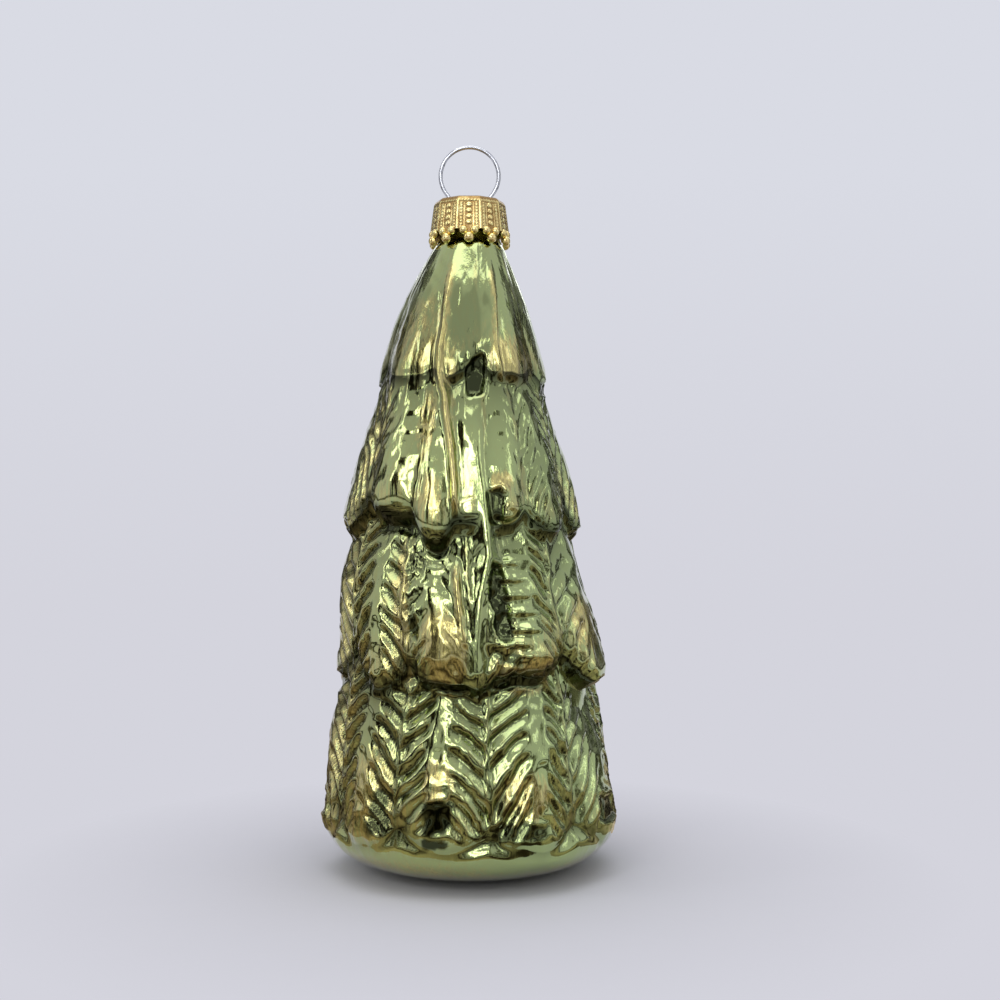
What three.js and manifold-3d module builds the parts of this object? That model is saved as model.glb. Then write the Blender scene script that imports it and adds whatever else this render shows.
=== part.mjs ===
// Silvered glass tree ornament with a stamped crown cap and a sprung wire loop.
// Millimetres, +Z up. The origin is the top of the ring's eye, where a hook bears.
// The front faces -Y, and angles are measured from there towards +X.
import * as THREE from "three";
import Module from "manifold-3d";
import { mergeVertices } from "three/addons/utils/BufferGeometryUtils.js";

// Wire loop
const wireDiameter = 0.55;
const ringEye = 7.3; // inner diameter of the ring
const legBend = 1; // centreline radius where the ring turns down into a leg
const legStand = 0.1; // straight wire between that bend and the cap
const legSplay = 0.05; // how much further apart each foot is than its hole
const legStraight = 1.2; // straight wire below the cap's top before the splay
const legLength = 9; // from the cap's top face to the feet

// Crown cap
const capSheet = 0.28;
const capPanels = 10;
const capShoulder = 0.7; // radius of the round edge between top and skirt
const capSkirt = 4.6; // height from the top face to the notches between lobes
const capFlare = 0.5; // how much wider the skirt is at its foot
const lobeDrop = 0.5; // how far the sheet of a lobe reaches below the notches
const tipBead = 0.7; // radius of the bead at each lobe's tip
const tipBeadDrop = 0.6; // its centre below the lobe's edge
const sideBead = 0.58; // radius of the two beads above it
const sideBeadSpread = 0.72; // from the lobe's middle to each side bead
const sideBeadRise = 0.35; // their centres above the lobe's edge

// Fits
const neckClearance = 0.25; // between the neck and the inside of the cap
const seatClearance = 0.3; // between the neck's rim and the underside of the cap
const holeClearance = 0.3; // between the wire and the cap's holes
const legClearance = 0.25; // between each foot and the bore that it presses on
const capOverhang = 1.4; // how far the cap's lowest beads hang past the straight neck

// Blown glass
const neckRadius = 4;
const neckWall = 0.7;
const rimRound = 0.25; // radius of the fire-polished rim
const bodyWall = 0.7;
const domeHeight = 8; // height of the widest point above the lowest
const domeRadius = 20.4;
const domeSquareness = 2.7; // 2 is an ellipse, more is squarer
const shoulderDrop = 1.8; // a point of the outline just below the neck
const shoulderStep = 0.95; // how much wider than the neck it is there
const coneDrop = 8.6; // a point of the outline half way down the first tier
const coneRadius = 8.3;
const lipDepth = 2; // height over which a tier's edge drops back to the next tier
const baseTips = 5.6; // height of the last tier's tips above the lowest point
const baseLip = 0.35; // how far those tips stand out from the dome
const rollSpan = 3.2; // height over which a tip rolls in
const insideFollow = 0.85; // how closely the inside follows the outside's relief
const tipPower = 1.9; // how pointed the tips are, 1 for straight sides
const furrowPower = 2.2; // how narrow the furrows are
const furrowOnset = 0.7; // how late down a tier they deepen
const overhangPower = 2; // how soon down a tier its overhang fades
const rollLeft = 0.3; // share of a tip's roll that is left in the furrows

// How far the body's axis sways off the neck's, in X, at heights above the lowest point.
const sway = [
  [0, 0.4],
  [12, 0.3],
  [20, 0.25],
  [28, 0.6],
  [33, 0],
  [40, -0.9],
  [54, -1],
  [70, -0.85],
  [78, -0.55],
  [84, 0],
];

// Tiers of boughs: a length runs from the tips above to the tier's own, and a radius is
// at its tips. The last tier ends on the dome.
const firstTierLength = 19;
const firstTierRadius = 11.5;
const secondTierLength = 19.6;
const secondTierRadius = 16.5;
const thirdTierLength = 19.4;
const thirdTierRadius = 18.9;
const lastTierLength = 21;

// Each tier's boughs, round to the right: the angle of its crest and of the furrow on its
// right in degrees, how far its tip and that furrow's end are above the tier's tips, and how
// much it overhangs and rolls in against the tier's own values. recess is how far the tier
// starts inside the one above, valley how deep its furrows are, and roll how far its tips
// turn in.
const tiers = [
  {
    length: firstTierLength,
    radius: firstTierRadius,
    recess: 0,
    valley: 0.7,
    roll: 0.7,
    boughs: [
      [3, 28, 0.4, 0.4, 1.9, 2],
      [50, 72, 0, 1.2, 0.7, 0.5],
      [93, 115, -1, 1.6, 0.8, 0.8],
      [137, 160, 0.9, 1.3, 0.9, 0.9],
      [183, 206, -0.6, 1.6, 1, 1.2],
      [228, 250, 0.8, 1.4, 0.8, 0.9],
      [270, 292, -1, 1.3, 0.6, 0.6],
      [316, 345, 0, 0.4, 0.35, 0.3],
    ],
  },
  {
    length: secondTierLength,
    radius: secondTierRadius,
    recess: 1.3,
    valley: 1.2,
    roll: 0.9,
    boughs: [
      [6, 13, 0.9, 0.8, 0.5, 0.4],
      [23, 34, 0.4, 2.2, 1.3, 1.5],
      [50, 66, -0.6, 3, 0.9, 0.5],
      [83, 100, -1, 3.2, 1.3, 0.5],
      [120, 140, -1.2, 3.4, 1.1, 0.9],
      [160, 180, 0.6, 3, 1.2, 1.1],
      [201, 222, -1.4, 3.4, 0.9, 0.7],
      [242, 262, 0.3, 3.2, 1.2, 0.9],
      [283, 305, -0.6, 3.4, 1.3, 0.6],
      [323, 337, 1.4, 1.8, 1.7, 0.9],
      [347, 357, -1.6, 0.6, 1.5, 0.8],
    ],
  },
  {
    length: thirdTierLength,
    radius: thirdTierRadius,
    recess: 1.8,
    valley: 1.5,
    roll: 0.9,
    boughs: [
      [348, 3, 0.2, -0.8, 1.3, 0.5],
      [29, 45, 0.8, 3.6, 1.5, 1.8],
      [66, 92, -0.6, 3.8, 2.5, 0.6],
      [115, 138, -1.2, 4, 1.6, 0.8],
      [158, 178, 0.6, 3.6, 1.2, 1.2],
      [199, 219, -1, 4, 1.4, 0.6],
      [238, 258, 0.5, 3.8, 0.9, 1],
      [277, 299, -0.4, 3.6, 0.5, 0.4],
      [319, 333, -0.8, 2.6, 0.9, 0.7],
    ],
  },
  {
    length: lastTierLength,
    recess: 1.9,
    valley: 1.5,
    roll: 0.4,
    boughs: [
      [348, 7, 0.4, 2, 1, 1],
      [29, 44, 0.2, 2.6, 1, 1],
      [68, 94, -0.3, 2.6, 1, 0.8],
      [112, 132, 0.3, 2.6, 1, 1],
      [153, 175, -0.5, 2.8, 1, 1],
      [197, 218, 0.2, 2.6, 1, 1],
      [238, 258, 0.4, 2.6, 1, 1],
      [278, 298, -0.4, 2.6, 1, 0.8],
      [315, 332, 0.3, 2.6, 1, 1],
    ],
  },
];
const crestAt = 0;
const overhangAt = 4;
const rollAt = 5;

// Facets
const glassColumns = 76;
const outerTierShares = [0.17, 0.34, 0.52, 0.7, 0.83, 0.92, 1]; // closer together at the tips
const innerTierShares = [0.3, 0.65, 1];
const outerBaseRows = 5;
const innerBaseRows = 3;
const columnsPerPanel = 4;
const skirtRows = 2;
const wireSides = 8;
const wireSteps = 64;

// Sizes that follow
const wireRadius = wireDiameter / 2;
const boreRadius = neckRadius - neckWall;
const footX = boreRadius - legClearance - wireRadius;
const legX = footX - legSplay;
const ringRadius = ringEye / 2 + wireRadius;
const ringZ = -ringEye / 2;
const bendDrop = Math.sqrt((ringRadius + legBend) ** 2 - (legX + legBend) ** 2);
const capTopZ = ringZ - bendDrop - legStand;
const capInnerRadius = neckRadius + neckClearance;
const capOuterRadius = capInnerRadius + capSheet;
const capReach = capSkirt + lobeDrop + tipBeadDrop + tipBead;
const neckLength = capReach - capSheet - seatClearance - capOverhang;
const neckFoot = tiers.reduce((height, tier) => height + tier.length, baseTips);
const neckRim = neckFoot + neckLength;
const glassZ = capTopZ - capSheet - seatClearance - neckRim;
const most = (tier, column) => Math.max(...tier.boughs.map((bough) => bough[column]));
const deepest = Math.max(
  ...tiers.map((tier) => tier.valley + tier.roll * most(tier, rollAt)),
  ...tiers.slice(1).map((tier, k) => tier.recess * most(tiers[k], overhangAt)),
);

const clamp01 = (x) => Math.min(1, Math.max(0, x));
const smooth = (x) => clamp01(x) ** 2 * (3 - 2 * clamp01(x));
const mix = (a, b, share) => a + (b - a) * share;
const fullTurn = 2 * Math.PI;

// The average height of each tier's tips.
const tipHeights = tiers.map((_, k) =>
  tiers.slice(k + 1).reduce((height, tier) => height + tier.length, baseTips),
);

// The outline that the boughs' crests touch, from the widest point to the rim.
const outline = [
  [domeHeight, domeRadius],
  ...tiers.slice(0, -1).map((tier, k) => [tipHeights[k], tier.radius]).reverse(),
  [neckFoot - coneDrop, coneRadius],
  [neckFoot - shoulderDrop, neckRadius + shoulderStep],
  [neckFoot, neckRadius],
  [neckRim, neckRadius],
];

// A smooth curve through [height, radius] points that never overshoots them.
function through(points, height) {
  const last = points.length - 2;
  const slope = (i) => (points[i + 1][1] - points[i][1]) / (points[i + 1][0] - points[i][0]);
  const lean = (i) => {
    if (i === 0) return slope(0);
    if (i > last) return slope(last);
    const before = slope(i - 1);
    const after = slope(i);
    return before * after <= 0 ? 0 : (2 * before * after) / (before + after);
  };
  const found = points.findIndex((_, i) => i <= last && height < points[i + 1][0]);
  const i = found < 0 ? last : found;
  const span = points[i + 1][0] - points[i][0];
  const t = clamp01((height - points[i][0]) / span);
  return (
    points[i][1] * (2 * t ** 3 - 3 * t ** 2 + 1) +
    points[i + 1][1] * (3 * t ** 2 - 2 * t ** 3) +
    span * lean(i) * (t ** 3 - 2 * t ** 2 + t) +
    span * lean(i + 1) * (t ** 3 - t ** 2)
  );
}

// The dome under the body is part of a squared ellipse.
const domeCurve = (x) => (1 - clamp01(x) ** domeSquareness) ** (1 / domeSquareness);
const domeHeightAt = (radius) => domeHeight * (1 - domeCurve(radius / domeRadius));

function outlineRadius(height) {
  if (height >= domeHeight) return through(outline, height);
  return domeRadius * domeCurve(1 - height / domeHeight);
}

// Degrees to the right from one direction to another, and from the front to an angle.
const from = (start, end) => (((end - start) % 360) + 360) % 360;
const degreesOf = (angle) => (angle * 360) / fullTurn;

// Where an angle lies on its bough: across runs from -1 to 1, with 0 on the crest. rise is
// that of the furrow on the angle's side.
function boughAt(tier, angle) {
  const degrees = degreesOf(angle);
  const toFurrow = tier.boughs.map(([, furrow]) => from(degrees, furrow));
  const number = toFurrow.indexOf(Math.min(...toFurrow));
  const left = tier.boughs.at(number - 1);
  const [crest, furrow, tip, rise] = tier.boughs[number];
  const toCrest = from(left[1], crest);
  const off = from(left[1], degrees) - toCrest;
  if (off < 0) return { tip, rise: left[3], across: off / toCrest };
  return { tip, rise, across: off / from(crest, furrow) };
}

// One column of a tier's boughs, blended from crest to crest by S-shaped steps.
function around(tier, column, angle) {
  const degrees = degreesOf(angle);
  const sinceCrest = tier.boughs.map((bough) => from(bough[crestAt], degrees));
  const number = sinceCrest.indexOf(Math.min(...sinceCrest));
  const own = tier.boughs[number];
  const next = tier.boughs[(number + 1) % tier.boughs.length];
  const share = sinceCrest[number] / from(own[crestAt], next[crestAt]);
  return mix(own[column], next[column], smooth(share));
}

// The height of a tier's lower edge, scalloped bough by bough.
function edgeHeight(k, angle) {
  if (k < 0) return neckFoot;
  const { tip, rise, across } = boughAt(tiers[k], angle);
  return tipHeights[k] + mix(tip, rise, Math.abs(across) ** tipPower);
}

// How far the surface lies inside the outline, at an angle and a height.
function relief(angle, height) {
  let aboveRelief = 0;
  for (const [k, tier] of tiers.entries()) {
    const above = edgeHeight(k - 1, angle);
    const edge = edgeHeight(k, angle);
    const furrow = Math.abs(boughAt(tier, angle).across) ** furrowPower;
    const roll = tier.roll * around(tier, rollAt, angle) * mix(1, rollLeft, furrow);
    if (height >= edge) {
      const along = clamp01((above - height) / (above - edge));
      const overhang = k === 0 ? 0 : around(tiers[k - 1], overhangAt, angle);
      const own =
        tier.recess * overhang * (1 - along) ** overhangPower +
        tier.valley * along ** furrowOnset * furrow +
        roll * clamp01(1 - (height - edge) / rollSpan) ** 2;
      return mix(aboveRelief, own, smooth((above - height) / lipDepth));
    }
    aboveRelief = tier.valley * furrow + roll;
  }
  const lastEdge = edgeHeight(tiers.length - 1, angle);
  const lip = smooth((lastEdge - height) / lipDepth);
  return mix(aboveRelief, baseLip, lip) * smooth(height / lastEdge);
}

// A point of the blown body, which sways a little on its way down from the neck.
function bodyPoint(angle, radius, height) {
  return [through(sway, height) + radius * Math.sin(angle), -radius * Math.cos(angle), height];
}

// One ring of points round the axis.
const ring = (columns, pointAt) =>
  Array.from({ length: columns }, (_, i) => pointAt((i / columns) * fullTurn));

// A closed skin over rings of points, with a point at each end.
function skin(first, rings, last) {
  const columns = rings[0].length;
  const positions = [first, ...rings.flat(), last].flat();
  const at = (row, column) => 1 + row * columns + (column % columns);
  const end = positions.length / 3 - 1;
  const faces = [];
  for (let c = 0; c < columns; c++) {
    faces.push(0, at(0, c + 1), at(0, c));
    faces.push(end, at(rings.length - 1, c), at(rings.length - 1, c + 1));
    for (let r = 0; r < rings.length - 1; r++) {
      faces.push(at(r, c), at(r, c + 1), at(r + 1, c));
      faces.push(at(r + 1, c), at(r, c + 1), at(r + 1, c + 1));
    }
  }
  const geometry = new THREE.BufferGeometry();
  geometry.setAttribute("position", new THREE.Float32BufferAttribute(positions, 3));
  geometry.setIndex(faces);
  geometry.computeVertexNormals();
  return geometry;
}

// Heights of the rows from the neck's foot down. They follow the scalloped edges, and
// each lower tier has two more rows where its top drops back under the edge above.
function tierHeights(shares) {
  return tiers.flatMap((_, k) => {
    const lip = k === 0 ? 0 : lipDepth;
    const rows = shares.map((share) => (angle) =>
      mix(edgeHeight(k - 1, angle) - lip, edgeHeight(k, angle), share),
    );
    const lipRows = k === 0 ? [] : [0.4, 1];
    return [...lipRows.map((share) => (angle) => edgeHeight(k - 1, angle) - lip * share), ...rows];
  });
}

// The blown glass: the outside, the rim, and an inside that follows the boughs less deeply.
function glassTree() {
  const lastEdge = (angle) => edgeHeight(tiers.length - 1, angle);
  const outside = (angle, radius, height) =>
    bodyPoint(angle, radius - relief(angle, height), height);
  const insideRadius = (angle, height) => {
    const follow = smooth((neckFoot - height) / coneDrop);
    const depth = mix(deepest, relief(angle, height), insideFollow) * follow;
    return outlineRadius(height) - mix(neckWall, bodyWall, follow) - depth;
  };
  const outerBase = Array.from({ length: outerBaseRows }, (_, i) => {
    const share = Math.sqrt((i + 0.4) / outerBaseRows);
    return ring(glassColumns, (angle) => {
      const radius = share * outlineRadius(lastEdge(angle));
      return outside(angle, radius, domeHeightAt(radius));
    });
  });
  const outerTiers = tierHeights(outerTierShares).map((heightAt) =>
    ring(glassColumns, (angle) => {
      const height = heightAt(angle);
      return outside(angle, outlineRadius(height), height);
    }),
  );
  const neck = [
    [neckRadius, neckFoot],
    [neckRadius, neckRim - rimRound],
    [neckRadius - rimRound, neckRim],
    [boreRadius + rimRound, neckRim],
    [boreRadius, neckRim - rimRound],
    [boreRadius, neckFoot],
  ].map(([radius, height]) => ring(glassColumns, (angle) => bodyPoint(angle, radius, height)));
  const innerTiers = tierHeights(innerTierShares).map((heightAt) =>
    ring(glassColumns, (angle) => {
      const height = heightAt(angle);
      const lifted = height + bodyWall * clamp01(1 - height / domeHeight);
      return bodyPoint(angle, insideRadius(angle, height), lifted);
    }),
  );
  const innerBase = Array.from({ length: innerBaseRows }, (_, i) => {
    const share = Math.sqrt((innerBaseRows - i - 0.5) / innerBaseRows);
    return ring(glassColumns, (angle) => {
      const height = domeHeightAt(share * outlineRadius(lastEdge(angle)));
      const lifted = height + bodyWall * clamp01(1 - height / domeHeight);
      return bodyPoint(angle, share * insideRadius(angle, lastEdge(angle)), lifted);
    });
  });
  const rings = [...outerBase, ...outerTiers.reverse(), ...neck, ...innerTiers, ...innerBase];
  return skin(bodyPoint(0, 0, 0), rings, bodyPoint(0, 0, bodyWall));
}

// Centreline of the wire: one foot, up a leg, round the ring and down to the other foot.
class WireCentreline extends THREE.Curve {
  constructor() {
    super();
    this.path = new THREE.CurvePath();
    const turn = Math.atan2(bendDrop, legX + legBend);
    const bendX = legX + legBend;
    const bendZ = ringZ - bendDrop;
    const straightZ = capTopZ - legStraight;
    const footZ = capTopZ - legLength;
    this.line(-footX, footZ, -legX, straightZ);
    this.line(-legX, straightZ, -legX, bendZ);
    this.arc(-bendX, bendZ, legBend, 0, turn, false);
    this.arc(0, ringZ, ringRadius, Math.PI + turn, -turn, true);
    this.arc(bendX, bendZ, legBend, Math.PI - turn, Math.PI, false);
    this.line(legX, bendZ, legX, straightZ);
    this.line(legX, straightZ, footX, footZ);
  }

  line(x0, z0, x1, z1) {
    this.path.add(new THREE.LineCurve(new THREE.Vector2(x0, z0), new THREE.Vector2(x1, z1)));
  }

  arc(x, z, radius, from, to, clockwise) {
    this.path.add(new THREE.EllipseCurve(x, z, radius, radius, from, to, clockwise));
  }

  getPoint(t, target = new THREE.Vector3()) {
    const { x, y } = this.path.getPoint(t);
    return target.set(x, 0, y);
  }
}

function wireLoop() {
  const corners = Array.from({ length: wireSides }, (_, i) => {
    const turn = (i / wireSides) * fullTurn;
    return new THREE.Vector2(Math.cos(turn), Math.sin(turn)).multiplyScalar(wireRadius);
  });
  return new THREE.ExtrudeGeometry(new THREE.Shape(corners), {
    steps: wireSteps,
    extrudePath: new WireCentreline(),
    bevelEnabled: false,
  });
}

// A ring of the cap's flat panels, at a middle radius and a depth below its top face.
function panelRing(middleRadius, depthAt) {
  const panel = fullTurn / capPanels;
  return ring(capPanels * columnsPerPanel, (angle) => {
    const depth = depthAt(angle);
    const off = angle - Math.round(angle / panel) * panel;
    const flare = (capFlare * Math.max(0, depth - capShoulder)) / (capSkirt - capShoulder);
    const radius = (middleRadius + flare) / Math.cos(off);
    return [radius * Math.sin(angle), -radius * Math.cos(angle), -depth];
  });
}

// How far below the top face the sheet ends, in lobes with a notch at each fold.
const skirtEdge = (angle) => capSkirt + (lobeDrop / 2) * (1 + Math.cos(angle * capPanels));

// The cap's sheet as a closed skin, from the top face out, down the skirt and back inside.
function capSheetSkin() {
  const shoulderStep = capShoulder * (1 - Math.SQRT1_2);
  const down = (share, top) => (angle) => mix(top, skirtEdge(angle), share);
  const rings = [
    panelRing(capOuterRadius - capShoulder, () => 0),
    panelRing(capOuterRadius - shoulderStep, () => shoulderStep),
  ];
  for (let i = 0; i <= skirtRows; i++)
    rings.push(panelRing(capOuterRadius, down(i / skirtRows, capShoulder)));
  for (let i = skirtRows; i >= 0; i--)
    rings.push(panelRing(capInnerRadius, down(i / skirtRows, capSheet)));
  return skin([0, 0, -capSheet], rings.reverse(), [0, 0, 0]);
}

// The room inside the skirt, carried on past its foot, which the beads stay out of.
function capRoom() {
  const foot = capReach + capSheet;
  const rings = [panelRing(capInnerRadius, () => foot), panelRing(capInnerRadius, () => capSheet)];
  return skin([0, 0, -foot], rings, [0, 0, -capSheet]);
}

// One stamped bead on the skirt, at an angle, an offset along the panel and a depth.
function bead(radius, angle, offset, depth) {
  const geometry = new THREE.SphereGeometry(radius, 7, 4);
  const flare = (capFlare * (depth - capShoulder)) / (capSkirt - capShoulder);
  geometry.rotateX(Math.PI / 2);
  geometry.translate(offset, -(capInnerRadius + capSheet / 2 + flare), -depth);
  geometry.rotateZ(angle);
  return geometry;
}

// A hole for one leg of the wire through the cap's top.
function legHole(x) {
  const radius = wireRadius + holeClearance;
  const drill = new THREE.CylinderGeometry(radius, radius, 4 * capSheet, 12);
  drill.rotateX(Math.PI / 2);
  drill.translate(x, 0, -capSheet / 2);
  return drill;
}

function crownCap(solid) {
  const room = solid(capRoom());
  const lobeEdge = skirtEdge(0);
  let cap = solid(capSheetSkin());
  for (let i = 0; i < capPanels; i++) {
    const angle = (i / capPanels) * fullTurn;
    const beads = [
      bead(tipBead, angle, 0, lobeEdge + tipBeadDrop),
      bead(sideBead, angle, -sideBeadSpread, lobeEdge - sideBeadRise),
      bead(sideBead, angle, sideBeadSpread, lobeEdge - sideBeadRise),
    ];
    for (const one of beads) cap = cap.add(solid(one).subtract(room));
  }
  for (const x of [-legX, legX]) cap = cap.subtract(solid(legHole(x)));
  return fromSolid(cap);
}

// A closed mesh as a solid that can be cut and joined.
function solidMaker(wasm) {
  return (geometry) => {
    const bare = new THREE.BufferGeometry();
    bare.setAttribute("position", geometry.getAttribute("position"));
    bare.setIndex(geometry.getIndex());
    const merged = mergeVertices(bare, 1e-4);
    return new wasm.Manifold(
      new wasm.Mesh({
        numProp: 3,
        vertProperties: merged.getAttribute("position").array,
        triVerts: new Uint32Array(merged.getIndex().array),
      }),
    );
  };
}

function fromSolid(solid) {
  const mesh = solid.getMesh();
  const geometry = new THREE.BufferGeometry();
  geometry.setAttribute("position", new THREE.BufferAttribute(mesh.vertProperties, 3));
  geometry.setIndex(new THREE.BufferAttribute(mesh.triVerts, 1));
  geometry.computeVertexNormals();
  return geometry;
}

function piece(name, geometry, z, look) {
  const mesh = new THREE.Mesh(geometry, new THREE.MeshStandardMaterial(look));
  mesh.name = name;
  mesh.position.z = z;
  return mesh;
}

const wasm = await Module();
wasm.setup();

const steel = { color: "#c9ccd2", roughness: 0.25, metalness: 1 };
const stampedGold = { color: "#c59a45", roughness: 0.3, metalness: 1 };
const silveredGreen = { color: "#7f9a4e", roughness: 0.12, metalness: 1 };

const ornament = new THREE.Group();
ornament.add(
  piece("wire_loop", wireLoop(), 0, steel),
  piece("crown_cap", crownCap(solidMaker(wasm)), capTopZ, stampedGold),
  piece("glass_tree", glassTree(), glassZ, silveredGreen),
);

export default ornament;
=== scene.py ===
"""Looks of a silvered glass tree ornament with a stamped crown cap and a wire loop.

Shapes are worked out in millimetres, with heights measured up from the lowest point of
the glass, and angles in radians round the tree from the front (-Y) towards the right.
"""

import math

import bpy
import numpy as np
from bpy.props import FloatProperty, FloatVectorProperty, IntProperty, PointerProperty
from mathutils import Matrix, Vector


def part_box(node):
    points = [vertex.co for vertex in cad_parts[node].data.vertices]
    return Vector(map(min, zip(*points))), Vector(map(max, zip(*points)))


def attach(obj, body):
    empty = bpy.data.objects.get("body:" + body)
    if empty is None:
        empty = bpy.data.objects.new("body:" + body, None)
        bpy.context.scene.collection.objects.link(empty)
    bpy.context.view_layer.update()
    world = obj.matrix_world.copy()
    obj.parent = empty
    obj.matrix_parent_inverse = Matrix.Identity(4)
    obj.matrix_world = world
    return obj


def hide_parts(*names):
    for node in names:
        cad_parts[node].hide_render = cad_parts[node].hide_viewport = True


bl_info = {
    "name": "Glass tree ornament",
    "version": (1, 0, 0),
    "blender": (4, 5, 0),
    "location": "3D View > Sidebar > Ornament",
    "description": "Builds the glass, the crown cap, the wire loop and a plain studio",
    "category": "Add Mesh",
}

MM = 0.001
TURN = 2 * math.pi

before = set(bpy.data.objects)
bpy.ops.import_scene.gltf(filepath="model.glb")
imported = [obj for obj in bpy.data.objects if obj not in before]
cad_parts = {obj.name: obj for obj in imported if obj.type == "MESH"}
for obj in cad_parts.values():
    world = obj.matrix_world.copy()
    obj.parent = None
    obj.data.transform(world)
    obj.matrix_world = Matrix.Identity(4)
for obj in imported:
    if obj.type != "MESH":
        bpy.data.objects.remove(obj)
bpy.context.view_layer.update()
glass_low, glass_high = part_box("glass_tree")
wire_low, wire_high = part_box("wire_loop")
glass_foot = glass_low.z / MM
rim_height = (glass_high.z - glass_low.z) / MM
cap_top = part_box("crown_cap")[1].z / MM


# Small tools for shapes


def clamp01(x):
    return np.clip(x, 0.0, 1.0)


def smooth(x):
    """An S-shaped step from 0 to 1 as x goes from 0 to 1."""
    x = clamp01(x)
    return x * x * (3 - 2 * x)


def mix(a, b, share):
    return a + (b - a) * share


def hump(x, width):
    """A round bump of height 1 at x = 0, gone at two or three widths away."""
    return np.exp(-((x / width) ** 2))


def turned_from(angle, middle):
    """How far an angle lies to the right of a middle one, within half a turn each way."""
    return (angle - middle + math.pi) % TURN - math.pi


def curve_through(points, x):
    """A smooth curve through (x, y) points that never overshoots them.

    Between two points it is a cubic whose slope at each point is the harmonic mean of
    the slopes on its two sides, or flat where these differ in sign.
    """
    px, py = np.array(points, float).T
    slopes = np.diff(py) / np.diff(px)
    before, after = slopes[:-1], slopes[1:]
    same_way = before * after > 0
    total = np.where(same_way, before + after, 1)
    inner = np.where(same_way, 2 * before * after / total, 0)
    lean = np.concatenate([slopes[:1], inner, slopes[-1:]])
    i = np.clip(np.searchsorted(px, x, side="right") - 1, 0, len(px) - 2)
    span = px[i + 1] - px[i]
    t = clamp01((x - px[i]) / span)
    return (
        py[i] * (2 * t**3 - 3 * t**2 + 1)
        + py[i + 1] * (3 * t**2 - 2 * t**3)
        + span * lean[i] * (t**3 - 2 * t**2 + t)
        + span * lean[i + 1] * (t**3 - t**2)
    )


def wander(seed, angle, height, across_cells, cell_height):
    """A smooth random field from -1 to 1 that closes round the tree.

    Random values sit on a lattice of angle and height cells, and are blended between
    their four neighbours with S-shaped steps.
    """
    rows = int(rim_height / cell_height) + 3
    lattice = np.random.default_rng(seed).uniform(-1, 1, (rows, across_cells))
    u = (angle / TURN * across_cells) % across_cells
    v = np.clip(height / cell_height, 0, rows - 1.001)
    column, row = np.floor(u).astype(int), np.floor(v).astype(int)
    su, sv = smooth(u - column), smooth(v - row)
    left, right = column % across_cells, (column + 1) % across_cells
    low = mix(lattice[row, left], lattice[row, right], su)
    high = mix(lattice[row + 1, left], lattice[row + 1, right], su)
    return mix(low, high, sv)


def ring_faces(rows, columns, first=0):
    """Quads of a grid whose last column joins its first. Rows run up, faces point out."""
    row, column = np.meshgrid(np.arange(rows - 1), np.arange(columns), indexing="ij")
    following = (column + 1) % columns
    a = first + row * columns + column
    b = first + row * columns + following
    c = first + (row + 1) * columns + following
    d = first + (row + 1) * columns + column
    return np.stack([a, b, c, d], -1).reshape(-1, 4)


def fan(centre, ring, outward=True):
    """Triangles from one point to a closed ring of points."""
    following = np.roll(ring, -1)
    middle = np.full(len(ring), centre)
    order = [middle, ring, following] if outward else [middle, following, ring]
    return np.stack(order, -1)


def make_piece(name, points, faces, material, marks=None):
    """A smooth-shaded object at the origin from points in millimetres."""
    mesh = bpy.data.meshes.new(name)
    corners = [face.tolist() for block in faces for face in block]
    mesh.from_pydata((points * MM).tolist(), [], corners)
    for label, values in (marks or {}).items():
        layer = mesh.attributes.new(label, "FLOAT", "POINT")
        layer.data.foreach_set("value", values.astype(np.float32).ravel())
    mesh.shade_smooth()
    mesh.materials.append(material)
    mesh.update()
    piece = bpy.data.objects.new(name, mesh)
    bpy.context.scene.collection.objects.link(piece)
    return piece


# Small tools for materials


class Nodes:
    """A material's node tree, with short calls for the nodes used here."""

    def __init__(self, name):
        self.material = bpy.data.materials.new(name)
        self.material.use_nodes = True
        self.tree = self.material.node_tree
        self.shader = self.tree.nodes["Principled BSDF"]

    def put(self, kind, **settings):
        node = self.tree.nodes.new(kind)
        for key, value in settings.items():
            setattr(node, key, value)
        return node

    def join(self, source, target):
        self.tree.links.new(source, target)

    def feed(self, node, inputs):
        for key, value in inputs.items():
            socket = node.inputs[key]
            if isinstance(value, bpy.types.NodeSocket):
                self.join(value, socket)
            else:
                socket.default_value = value

    def mark(self, label):
        """A value stored on the mesh under that label."""
        return self.put("ShaderNodeAttribute", attribute_name=label).outputs["Fac"]

    def math(self, operation, a, b=0.0, clamp=False):
        node = self.put("ShaderNodeMath", operation=operation, use_clamp=clamp)
        self.feed(node, {0: a, 1: b})
        return node.outputs[0]

    def blend(self, share, a, b):
        node = self.put("ShaderNodeMix", data_type="RGBA")
        self.feed(node, {"Factor": share, 6: a, 7: b})
        return node.outputs[2]

    def span(self, value, low, high, to_low=0.0, to_high=1.0):
        """A value from low to high carried over to to_low to to_high, and held there."""
        node = self.put("ShaderNodeMapRange", clamp=True)
        self.feed(node, {0: value, 1: low, 2: high, 3: to_low, 4: to_high})
        return node.outputs[0]

    def noise(self, scale, stretch=(1, 1, 1), detail=3.0, roughness=0.5, distortion=0.0):
        """Noise on object coordinates, in cells per metre, stretched along each axis."""
        place = self.put("ShaderNodeTexCoord").outputs["Object"]
        mapping = self.put("ShaderNodeMapping")
        self.feed(mapping, {"Vector": place, "Scale": stretch})
        node = self.put("ShaderNodeTexNoise")
        settings = {"Scale": scale, "Detail": detail, "Roughness": roughness}
        self.feed(node, {"Vector": mapping.outputs[0], "Distortion": distortion, **settings})
        return node.outputs[0]

    def bump(self, height, distance, strength=1.0, after=None):
        node = self.put("ShaderNodeBump")
        self.feed(node, {"Strength": strength, "Distance": distance, "Height": height})
        if after:
            self.join(after, node.inputs["Normal"])
        return node.outputs[0]


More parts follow.
